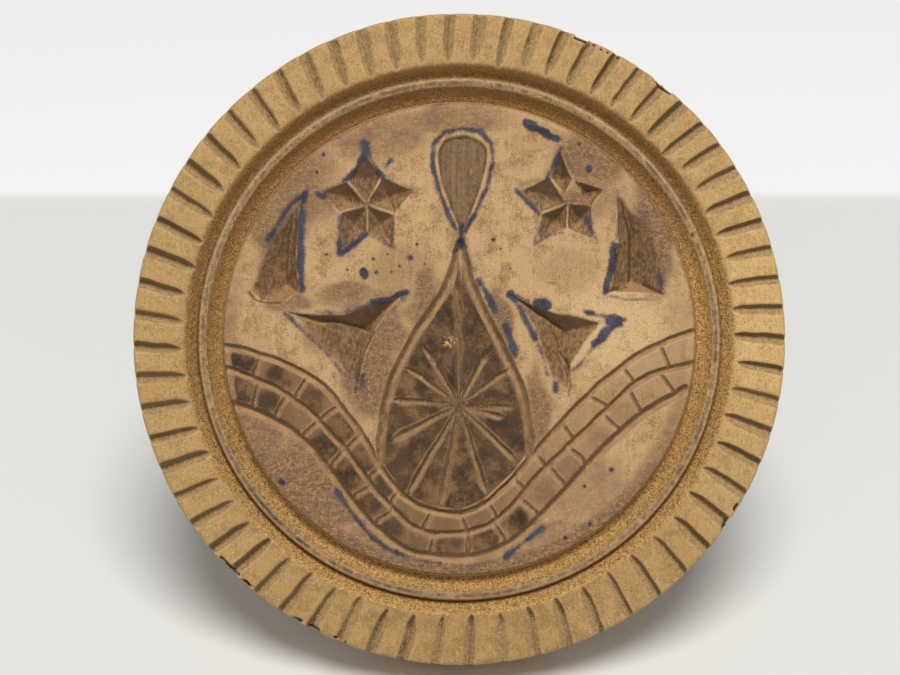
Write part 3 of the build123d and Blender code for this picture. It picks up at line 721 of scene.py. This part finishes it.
def backProfile():
    # from the middle of the hidden side out to the edge, then in over the flat back, the boss and the bore
    level, boss, top, bore = back["level"], back["bossRadius"], back["bossLevel"], back["boreRadius"]
    hidden = np.array([(0, -5.1), (20.0, -5.1), (43.0, -5.1), (55.6, -12.2), (55.85, -12.7)])
    plain = np.array([(55.6, level), (50.0, level), (44.0, level), (38.0, level), (32.0, level),
                      (27.2, level), (26.9, -12.85), (26.6, level)])
    bossSide = smoothLine([(24.5, -13.02), (22.4, -13.35), (20.9, -14.3), (20.15, -16.0), (boss, -18.0),
                           (boss, -20.2), (19.6, -21.4), (18.6, -21.95), (17.0, top)], 2)
    boreSide = np.array([(13.0, top), (7.9, top), (bore, -21.7), (bore, -15.0), (bore, -9.1), (0, -9.0)])
    return np.vstack([hidden, plain, bossSide, boreSide])


def makeBack(material):
    profile = backProfile()
    values = {"outer": np.ones(len(profile))}
    return turnedPiece("printBack", profile, back["aroundPoints"], 0.02, values, material,
                       ["print_disc"], 51)


# The turned handle: tenon, shoulder bead, neck, swelling grip and knob
handle = {
    "aroundPoints": 200,
    "tenonRadius": 7.45,
    "tenonEnd": -9.5,
    "shoulder": -22.02,
    "knobRadius": 14.5,
    "knobMiddle": -80.5,
    "knobSteps": 34,
}


def handleProfile():
    # radius and height: a straight tenon, a curve through shoulder, neck and grip, and an arc for the knob
    tenon = np.array([(0, handle["tenonEnd"]), (6.9, handle["tenonEnd"]), (handle["tenonRadius"], -10.1),
                      (handle["tenonRadius"], -21.6), (7.6, handle["shoulder"]), (12.2, handle["shoulder"])])
    body = smoothLine([(13.15, -22.5), (13.7, -23.7), (13.45, -25.0), (12.35, -25.9), (11.55, -26.05),
                       (11.2, -26.5), (10.5, -28.2), (9.4, -31.6), (8.45, -35.6), (8.2, -38.2), (8.55, -42.2),
                       (9.6, -47.2), (10.85, -52.0), (11.5, -55.6), (11.4, -59.0), (10.6, -62.8),
                       (9.4, -66.2), (8.75, -68.4)])
    knobTurn = np.linspace(math.radians(38.5), math.pi, handle["knobSteps"])
    knob = np.stack([handle["knobRadius"] * np.sin(knobTurn),
                     handle["knobMiddle"] + handle["knobRadius"] * np.cos(knobTurn)], axis=1)
    knob[-1, 0] = 0
    return np.vstack([tenon, body, knob])


def makeHandle(material):
    # the profile turned about the axis, darker in the narrow places and with wear on the grip
    profile = handleProfile()
    deep = np.interp(profile[:, 1], [-70.5, -68.6, -66.5, -27.2, -26.1, -25.6], [0, 1, 0, 0, 1, 0])
    values = {"recess": deep, "held": step(profile[:, 1], -26.0, -45.0)}
    return turnedPiece("turnedHandle", profile, handle["aroundPoints"], 0.04, values, material,
                       ["handle"], 61)


# Materials. A Flow is one socket's value, so sums and products of them read as plain arithmetic
class Flow:
    def __init__(self, sheet, socket):
        self.sheet, self.socket = sheet, socket

    def math(self, operation, first, second=0.0):
        return self.sheet.node("ShaderNodeMath", {"operation": operation}, {0: first, 1: second})

    def __add__(self, other):
        return self.math("ADD", self, other)

    def __sub__(self, other):
        return self.math("SUBTRACT", self, other)

    def __mul__(self, other):
        return self.math("MULTIPLY", self, other)

    def __rsub__(self, other):
        return self.math("SUBTRACT", other, self)

    __radd__ = __add__
    __rmul__ = __mul__


class Sheet:
    def __init__(self, name):
        self.material = bpy.data.materials.new(name)
        self.material.use_nodes = True
        self.tree = self.material.node_tree
        self.shader = self.tree.nodes["Principled BSDF"]

    def node(self, kind, settings, inputs, output=0):
        made = self.tree.nodes.new(kind)
        for name, value in settings.items():
            if name == "stops":
                while len(made.color_ramp.elements) < len(value):
                    made.color_ramp.elements.new(0.5)
                for element, (place, colour) in zip(made.color_ramp.elements, value):
                    element.position, element.color = place, colour
            else:
                setattr(made, name, value)
        for name, value in inputs.items():
            self.feed(made.inputs[name], value)
        return Flow(self, made.outputs[output])

    def feed(self, socket, value):
        if isinstance(value, Flow):
            self.tree.links.new(value.socket, socket)
        else:
            socket.default_value = value

    def attribute(self, name):
        return self.node("ShaderNodeAttribute", {"attribute_name": name}, {}, "Fac")

    def facePoint(self):
        # the piece's own coordinates, moved, turned and scaled to the face's millimetres
        objectPoint = self.node("ShaderNodeTexCoord", {}, {}, "Object")
        return self.node("ShaderNodeMapping", {"vector_type": "TEXTURE"},
                         {"Vector": objectPoint, "Location": tuple(faceCentre),
                          "Rotation": (math.pi / 2 - lean, 0, 0), "Scale": (0.001, 0.001, 0.001)})

    def stretch(self, point, scale):
        return self.node("ShaderNodeMapping", {"vector_type": "POINT"}, {"Vector": point, "Scale": scale})

    def noise(self, point, scale, detail=3.0, rough=0.5, bend=0.0):
        return self.node("ShaderNodeTexNoise", {"noise_dimensions": "3D"},
                         {"Vector": point, "Scale": scale, "Detail": detail, "Roughness": rough,
                          "Distortion": bend}, "Fac")

    def band(self, value, start, end, low=0.0, high=1.0):
        return self.node("ShaderNodeMapRange", {"interpolation_type": "SMOOTHSTEP", "clamp": True},
                         {"Value": value, "From Min": start, "From Max": end, "To Min": low, "To Max": high})

    def mix(self, share, first, second):
        return self.node("ShaderNodeMix", {"data_type": "RGBA", "clamp_factor": True},
                         {0: share, 6: first, 7: second}, 2)

    def ramp(self, value, stops):
        return self.node("ShaderNodeValToRGB", {"stops": stops}, {"Fac": value})

    def bump(self, height, depth):
        return self.node("ShaderNodeBump", {}, {"Height": height, "Distance": depth})


def paint(red, green, blue):
    # a colour as a screen shows it, 0 to 255, made linear
    shown = np.array([red, green, blue]) / 255
    linear = np.where(shown > 0.04045, ((shown + 0.055) / 1.055) ** 2.4, shown / 12.92)
    return (*linear.tolist(), 1.0)


def paintSet(colours):
    return SimpleNamespace(**{name: paint(*colour) for name, colour in colours.items()})


carvedWood = {  # colours as a screen shows them, 0 to 255
    "light": (216, 181, 130), "middle": (186, 149, 102), "dark": (140, 107, 70), "rose": (180, 134, 98),
    "bare": (226, 194, 144),
    "rimLight": (226, 190, 130), "rimMiddle": (204, 165, 106), "rimDark": (166, 126, 74),
    "rimRust": (190, 134, 70), "outer": (176, 138, 86), "aged": (134, 102, 60),
    "tornLight": (224, 178, 110), "tornMiddle": (186, 142, 80), "tornDark": (118, 82, 42),
    "stainPale": (166, 127, 88), "stain": (120, 86, 57), "stainDeep": (78, 51, 33), "violet": (96, 77, 72),
    "cellLight": (160, 122, 84), "cell": (122, 89, 58), "cellDark": (88, 61, 40),
    "duskPale": (126, 91, 57), "dusk": (82, 57, 35), "duskDeep": (42, 29, 18),
    "cut": (132, 101, 68), "cutWarm": (154, 108, 60), "cutShade": (90, 66, 42), "cutLit": (186, 139, 86),
    "drop": (134, 104, 74), "groove": (174, 134, 91), "slit": (58, 40, 24), "broken": (74, 54, 36),
    "notch": (180, 147, 100), "notchDeep": (138, 108, 68), "notchPale": (190, 160, 114),
    "notchShade": (78, 57, 33), "beadWood": (208, 170, 116), "beadDark": (116, 86, 54),
    "ink": (34, 34, 54), "inkPale": (74, 73, 86),
}


def woodPatterns(sheet):
    # noises from the finest to the broadest, and the shares that more than one layer reads
    point = sheet.facePoint()
    wood = SimpleNamespace(
        grit=sheet.noise(point, 3.6, 2, 0.6),
        speck=sheet.noise(point, 1.5, 3, 0.65),
        fleck=sheet.noise(sheet.stretch(point, (2.4, 0.8, 2.4)), 1.0, 4, 0.6),
        scratch=sheet.noise(sheet.stretch(point, (0.5, 4.0, 4.0)), 1.0, 3, 0.6, 0.6),
        streak=sheet.noise(sheet.stretch(point, (1.5, 0.07, 1.5)), 1.0, 4, 0.6, 0.3),
        mottle=sheet.noise(point, 0.3, 4, 0.62),
        blotch=sheet.noise(point, 0.085, 3, 0.55, 0.4),
        upward=sheet.attribute("upward"),
        torn=sheet.attribute("torn"),
        scraped=sheet.band(sheet.attribute("grooved"), 0.02, 0.3))
    wood.fine = wood.grit * 0.5 + wood.speck * 0.3 + wood.fleck * 0.2
    # painted shade round the rim, made patchy by the wood's noise
    patchy = sheet.band(wood.fine * 0.5 + wood.mottle * 0.5, 0.4, 0.58, 1.2, 0.75)
    wood.aged = sheet.attribute("aged") * patchy
    return wood


def bareWood(sheet, wood, paints):
    # field and rim each in their own paints, the outer wall streaked, one rubbed place paler
    tone = wood.fine * 0.56 + wood.streak * 0.08 + wood.mottle * 0.36
    face = sheet.ramp(tone, [(0.41, paints.dark), (0.5, paints.middle), (0.585, paints.light)])
    rosy = sheet.band(wood.mottle + (wood.speck - 0.5) * 0.6, 0.5, 0.68)
    face = sheet.mix(rosy * 0.42, face, paints.rose)
    tone = wood.fine * 0.7 + wood.streak * 0.1 + wood.mottle * 0.2
    land = sheet.ramp(tone, [(0.4, paints.rimDark), (0.5, paints.rimMiddle), (0.59, paints.rimLight)])
    rusty = sheet.band(wood.mottle * 0.7 + wood.fine * 0.3 + (wood.blotch - 0.5) * 0.4, 0.53, 0.64)
    land = sheet.mix(rusty * 0.4, land, paints.rimRust)
    # painted shade over the land
    land = sheet.mix(wood.aged, land, paints.aged)
    colour = sheet.mix(sheet.attribute("land"), face, land)
    tone = wood.streak * 0.6 + wood.fine * 0.4
    outer = sheet.ramp(tone, [(0.4, paints.rimDark), (0.5, paints.outer), (0.6, paints.rimLight)])
    # dirty blotches on the outer wall, in the brown that the painted shade also uses
    dirty = sheet.band(wood.blotch * 0.6 + wood.mottle * 0.4, 0.47, 0.62)
    outer = sheet.mix(dirty * 0.5, outer, paints.aged)
    colour = sheet.mix(sheet.attribute("outer"), colour, outer)
    rubbed = sheet.attribute("bare") * sheet.band(wood.fine, 0.38, 0.56, 0.4, 1.0)
    return sheet.mix(rubbed, colour, paints.bare)


def stainLayer(sheet, wood, paints, colour):
    # red-brown stain soaks in unevenly, with paler scratches through it
    tone = wood.grit * 0.4 + wood.speck * 0.35 + wood.scratch * 0.25
    stain = sheet.ramp(tone, [(0.41, paints.stainDeep), (0.5, paints.stain), (0.58, paints.stainPale)])
    stain = sheet.mix(sheet.band(wood.mottle, 0.47, 0.62) * 0.32, stain, paints.violet)
    soaked = sheet.attribute("stain") + (wood.fine - 0.5) * 1.8 + (wood.mottle - 0.5) * 1.5
    return sheet.mix(sheet.band(soaked, 0.1, 0.95) * 0.85, colour, stain)


def chipLayer(sheet, wood, paints, colour):
    # chips are duller than the face and warm where the wood is torn; painted shade darkens them where they
    # face down and painted light makes them pale where they face up
    chip = sheet.mix(sheet.band(wood.fleck * 0.5 + wood.speck * 0.5, 0.42, 0.6), paints.cutShade, paints.cut)
    warm = sheet.band(wood.mottle + (wood.fleck - 0.5) * 0.8, 0.5, 0.66)
    chip = sheet.mix(warm * 0.55, chip, paints.cutWarm)
    # painted shade on the sides that face down
    chip = sheet.mix(sheet.band(wood.upward, -0.05, -0.35) * 0.9, chip, paints.stainDeep)
    # painted light on the sides that face up
    lit = sheet.band(wood.upward + (wood.fleck - 0.5) * 0.6, 0.15, 0.7)
    chip = sheet.mix(lit * 0.55, chip, paints.cutLit)
    return sheet.mix(sheet.band(sheet.attribute("chipped"), 0.03, 0.22, 0.0, 0.93), colour, chip)


def dropLayer(sheet, wood, paints, colour):
    # the floor of the small drop, lightly streaked
    tone = sheet.band(wood.streak * 0.3 + wood.fine * 0.7, 0.4, 0.57)
    drop = sheet.mix(tone, paints.cutShade, paints.drop)
    return sheet.mix(sheet.band(sheet.attribute("sunk"), 0.15, 0.7, 0.0, 0.95), colour, drop)


def sootLayer(sheet, wood, paints, colour):
    # soot on the ground of the flame and in the dark cells, plain brown in the other cells
    dusk = sheet.attribute("dusk")
    tone = wood.mottle * 0.55 + wood.fine * 0.45
    soot = sheet.ramp(tone, [(0.42, paints.duskDeep), (0.5, paints.dusk), (0.59, paints.duskPale)])
    soot = sheet.mix(sheet.band(wood.blotch, 0.5, 0.64) * 0.18, soot, paints.violet)
    tone = wood.fine * 0.7 + wood.mottle * 0.3
    cell = sheet.ramp(tone, [(0.42, paints.cellDark), (0.5, paints.cell), (0.58, paints.cellLight)])
    soot = sheet.mix(sheet.band(dusk + (wood.fine - 0.5) * 0.6, 0.62, 0.84), cell, soot)
    sooty = sheet.band(dusk + (wood.fine - 0.5) * 1.1 + (wood.mottle - 0.5) * 0.9, 0.15, 0.85)
    return sheet.mix(sooty * 0.97, colour, soot)


def grooveLayer(sheet, wood, paints, colour):
    # the grooves are scraped clean again; painted light makes them palest where they face up, painted shade
    # darkens the walls that face down
    tone = wood.upward + (wood.fleck - 0.5) * 0.7 + (wood.grit - 0.5) * 0.7
    groove = sheet.mix(sheet.band(tone, -0.3, 0.4), paints.cutShade, paints.groove)
    groove = sheet.mix(sheet.band(wood.mottle, 0.46, 0.62) * 0.4, groove, paints.stain)
    return sheet.mix(wood.scraped * sheet.band(wood.fine, 0.38, 0.52, 0.7, 0.92), colour, groove)


def coveLayer(sheet, wood, paints, colour):
    # torn grain in the coves, with painted shade darkest where it faces down at the top
    tone = wood.grit * 0.6 + wood.speck * 0.25 + wood.fleck * 0.15
    torn = sheet.ramp(tone, [(0.4, paints.tornDark), (0.49, paints.tornMiddle), (0.59, paints.tornLight)])
    torn = sheet.mix(sheet.band(wood.upward, -0.05, -0.6) * 0.45, torn, paints.tornDark)
    # more painted shade from the rim's painted shade share, except where the grain faces up
    torn = sheet.mix(sheet.attribute("aged") * sheet.band(wood.upward, 0.6, -0.1), torn, paints.tornDark)
    ragged = wood.torn + (wood.speck - 0.5) * 1.1 + (wood.grit - 0.5) * 0.9
    return sheet.mix(sheet.band(ragged, 0.3, 0.68), colour, torn)


def beadLayer(sheet, wood, paints, colour):
    # the bead between the coves, with a dark streak along its top
    bead = sheet.mix(sheet.band(wood.fine, 0.4, 0.56), paints.beadDark, paints.beadWood)
    # painted shade round the rim darkens the bead too
    bead = sheet.mix(wood.aged * 0.5, bead, paints.beadDark)
    colour = sheet.mix(sheet.attribute("bead") * 0.95, colour, bead)
    patchy = sheet.band(wood.blotch * 0.5 + wood.mottle * 0.5 + (wood.grit - 0.5) * 0.9, 0.38, 0.56)
    dirt = sheet.mix(wood.mottle, paints.duskDeep, paints.violet)
    return sheet.mix(sheet.attribute("streak") * patchy * 1.2, colour, dirt)


def notchLayer(sheet, wood, paints, colour):
    # notches, with painted shade on the wall that faces down, and speckled along the valley
    notch = sheet.mix(sheet.band(wood.fine, 0.4, 0.6), paints.notchDeep, paints.notch)
    shade = sheet.band(wood.upward + (wood.grit - 0.5) * 0.3, -0.1, -0.26)
    notch = sheet.mix(shade * 0.95, notch, paints.notchShade)
    inside = sheet.band(sheet.attribute("notched") + (wood.grit - 0.5) * 0.2, 0.1, 0.4)
    colour = sheet.mix(inside * 0.88, colour, notch)
    speckled = sheet.attribute("valley") * sheet.band(wood.grit, 0.42, 0.58)
    return sheet.mix(speckled * 0.5, colour, paints.notchPale)


def wearLayer(sheet, wood, paints, colour):
    # crests rubbed pale, painted shade in the hollows, then painted shade in the knife slips and painted
    # shadow lines at the feet of bead and field, and the broken edge
    crest = sheet.attribute("crest")
    colour = sheet.mix(sheet.band(crest, 0.03, 0.14) * 0.28, colour, paints.light)
    # painted shade in the hollows, weaker in the scraped grooves
    hollow = sheet.band(crest, -0.04, -0.2) * (1 - wood.scraped * 0.8)
    colour = sheet.mix(hollow * 0.45, colour, paints.duskDeep)
    # painted shade in the knife slips, and on the rim painted shadow lines at the feet of bead and field
    slit = sheet.band(sheet.attribute("slit") + (wood.grit - 0.5) * 0.4, 0.3, 0.85)
    colour = sheet.mix(slit * 0.8, colour, paints.slit)
    broken = sheet.band(sheet.attribute("broken") + (wood.speck - 0.5) * 0.4, 0.25, 0.55)
    return sheet.mix(broken, colour, paints.broken)


def inkLayer(sheet, wood, paints, colour):
    # ink with feathered, patchy edges
    ink = sheet.mix(sheet.band(wood.grit * 0.5 + wood.mottle * 0.5, 0.44, 0.62), paints.ink, paints.inkPale)
    feathered = sheet.attribute("ink") + (wood.grit - 0.5) + (wood.mottle - 0.5) * 0.8
    return sheet.mix(sheet.band(feathered, 0.2, 0.66) * 0.96, colour, ink)


def makeCarvedWood():
    sheet = Sheet("carvedWood")
    wood = woodPatterns(sheet)
    paints = paintSet(carvedWood)
    colour = bareWood(sheet, wood, paints)
    for layer in (stainLayer, chipLayer, dropLayer, sootLayer, grooveLayer, coveLayer, beadLayer, notchLayer,
                  wearLayer, inkLayer):
        colour = layer(sheet, wood, paints, colour)
    sheet.feed(sheet.shader.inputs["Base Color"], colour)
    sheet.feed(sheet.shader.inputs["Roughness"], sheet.band(wood.fine, 0.4, 0.6, 0.62, 0.84))
    sheet.shader.inputs["Specular IOR Level"].default_value = 0.3
    height = wood.grit * 0.5 + wood.fleck * 0.45 + wood.streak * 0.3 + wood.torn * wood.grit * 1.8
    sheet.feed(sheet.shader.inputs["Normal"], sheet.bump(height, 0.00018))
    return sheet.material


handleWood = {
    "light": (176, 132, 82), "middle": (142, 98, 54), "dark": (98, 62, 32), "grime": (58, 38, 22),
}


def makeTurnedWood(name, colours, fine):
    paints = paintSet(colours)
    sheet = Sheet(name)
    point = sheet.facePoint()
    grain = sheet.noise(sheet.stretch(point, (1.1 * fine, 1.1 * fine, 0.06 * fine)), 1.0, 5, 0.62, 0.5)
    pores = sheet.noise(sheet.stretch(point, (5.0 * fine, 5.0 * fine, 0.5 * fine)), 1.0, 3, 0.6)
    patch = sheet.noise(point, 0.11 * fine, 4, 0.6)
    ring = sheet.noise(sheet.stretch(point, (0.02, 0.02, 3.5)), 1.0, 2, 0.5)
    colour = sheet.ramp(grain * 0.6 + patch * 0.4,
                        [(0.34, paints.dark), (0.5, paints.middle), (0.66, paints.light)])
    colour = sheet.mix(sheet.band(pores, 0.6, 0.72) * 0.55, colour, paints.grime)
    # darker in the narrow places
    colour = sheet.mix(sheet.attribute("recess") * 0.7, colour, paints.grime)
    worn = sheet.attribute("held") * sheet.band(patch, 0.45, 0.65)
    colour = sheet.mix(worn * 0.45, colour, paints.light)
    crest = sheet.attribute("crest")
    colour = sheet.mix(sheet.band(crest, 0.02, 0.2) * 0.4, colour, paints.light)
    sheet.feed(sheet.shader.inputs["Base Color"], colour)
    sheet.feed(sheet.shader.inputs["Roughness"], sheet.band(grain + worn * 0.4, 0.3, 1.0, 0.62, 0.4))
    sheet.shader.inputs["Specular IOR Level"].default_value = 0.4
    height = grain * 0.5 + pores * -0.6 + ring * 0.25
    sheet.feed(sheet.shader.inputs["Normal"], sheet.bump(height, 0.00012))
    return sheet.material


# The set: a pale floor of two papers, one soft light from above and a weak one in front
stage = {
    "floorHalf": 3.0, "nearFloor": (228, 228, 223), "farFloor": (250, 250, 248), "seam": 0.137,
    "lightPlace": (0.1, -0.7, 2.0), "lightSize": 1.0, "lightPower": 36.0,
    "fillPlace": (-0.3, -0.8, 0.6), "fillSize": 0.6, "fillPower": 0.5, "lightAim": (0.0, 0.0, 0.05),
    "skyColour": (0.97, 0.98, 1.0, 1.0), "skyStrength": 0.3, "skySeen": 0.86,
    "lens": 80.0, "viewWidth": 0.16514, "aimAcross": -1.706, "aimUp": 0.312,
}


def makeFloor():
    half = stage["floorHalf"]
    corners = [(-half, -half, 0), (half, -half, 0), (half, half, 0), (-half, half, 0)]
    mesh = bpy.data.meshes.new("floor")
    mesh.from_pydata(corners, [], [(0, 1, 2, 3)])
    floor = bpy.data.objects.new("floor", mesh)
    bpy.context.scene.collection.objects.link(floor)
    sheet = Sheet("floorPaper")
    place = sheet.node("ShaderNodeTexCoord", {}, {}, "Object")
    depth = sheet.node("ShaderNodeSeparateXYZ", {}, {"Vector": place}, "Y")
    blur = 0.004
    far = sheet.band(depth, stage["seam"] - blur, stage["seam"] + blur)
    colour = sheet.mix(far, paint(*stage["nearFloor"]), paint(*stage["farFloor"]))
    sheet.feed(sheet.shader.inputs["Base Color"], colour)
    sheet.shader.inputs["Roughness"].default_value = 0.6
    mesh.materials.append(sheet.material)


def makeLight(name, place, size, power):
    lamp = bpy.data.lights.new(name, "AREA")
    lamp.shape, lamp.size, lamp.energy = "DISK", size, power
    light = bpy.data.objects.new(name, lamp)
    bpy.context.scene.collection.objects.link(light)
    light.location = place
    light.rotation_euler = (Vector(stage["lightAim"]) - Vector(place)).to_track_quat("-Z", "Y").to_euler()


def makeSky():
    # an even glow, paler where the camera looks straight at it
    sky = bpy.data.worlds.new("sky")
    sky.use_nodes = True
    nodes, links = sky.node_tree.nodes, sky.node_tree.links
    nodes["Background"].inputs["Color"].default_value = stage["skyColour"]
    seen = nodes.new("ShaderNodeLightPath")
    strength = nodes.new("ShaderNodeMapRange")
    strength.inputs["To Min"].default_value = stage["skyStrength"]
    strength.inputs["To Max"].default_value = stage["skySeen"]
    links.new(seen.outputs["Is Camera Ray"], strength.inputs["Value"])
    links.new(strength.outputs["Result"], nodes["Background"].inputs["Strength"])
    bpy.context.scene.world = sky


def makeCamera():
    lens = bpy.data.cameras.new("camera")
    lens.lens, lens.sensor_width = stage["lens"], 36.0
    camera = bpy.data.objects.new("camera", lens)
    bpy.context.scene.collection.objects.link(camera)
    distance = stage["viewWidth"] * stage["lens"] / 36.0 * 1000
    camera.location = onFace(stage["aimAcross"], stage["aimUp"], distance)[0]
    axes = Matrix([faceAcross, faceUp, faceOut]).transposed()
    camera.rotation_euler = axes.to_euler()
    lens.clip_start, lens.clip_end = 0.01, 20
    bpy.context.scene.camera = camera


carved = makeCarvedWood()
turned = makeTurnedWood("handleWood", handleWood, 1.0)
pegWood = makeTurnedWood("pegWood", {**handleWood, "middle": (120, 80, 44)}, 2.0)
print("materials made")
makeField(carved)
makeRim(carved)
makeBack(carved)
makeHandle(turned)
for nodeName in ("locking_peg", "tenon_wedge"):
    for materialSlot in frame["nodes"][nodeName].material_slots:
        materialSlot.material = pegWood
print("pieces made")

makeFloor()
makeLight("overhead", stage["lightPlace"], stage["lightSize"], stage["lightPower"])
makeLight("front", stage["fillPlace"], stage["fillSize"], stage["fillPower"])
makeSky()
bpy.context.scene.view_settings.view_transform = "Standard"
makeCamera()
print("set, lights and camera made")
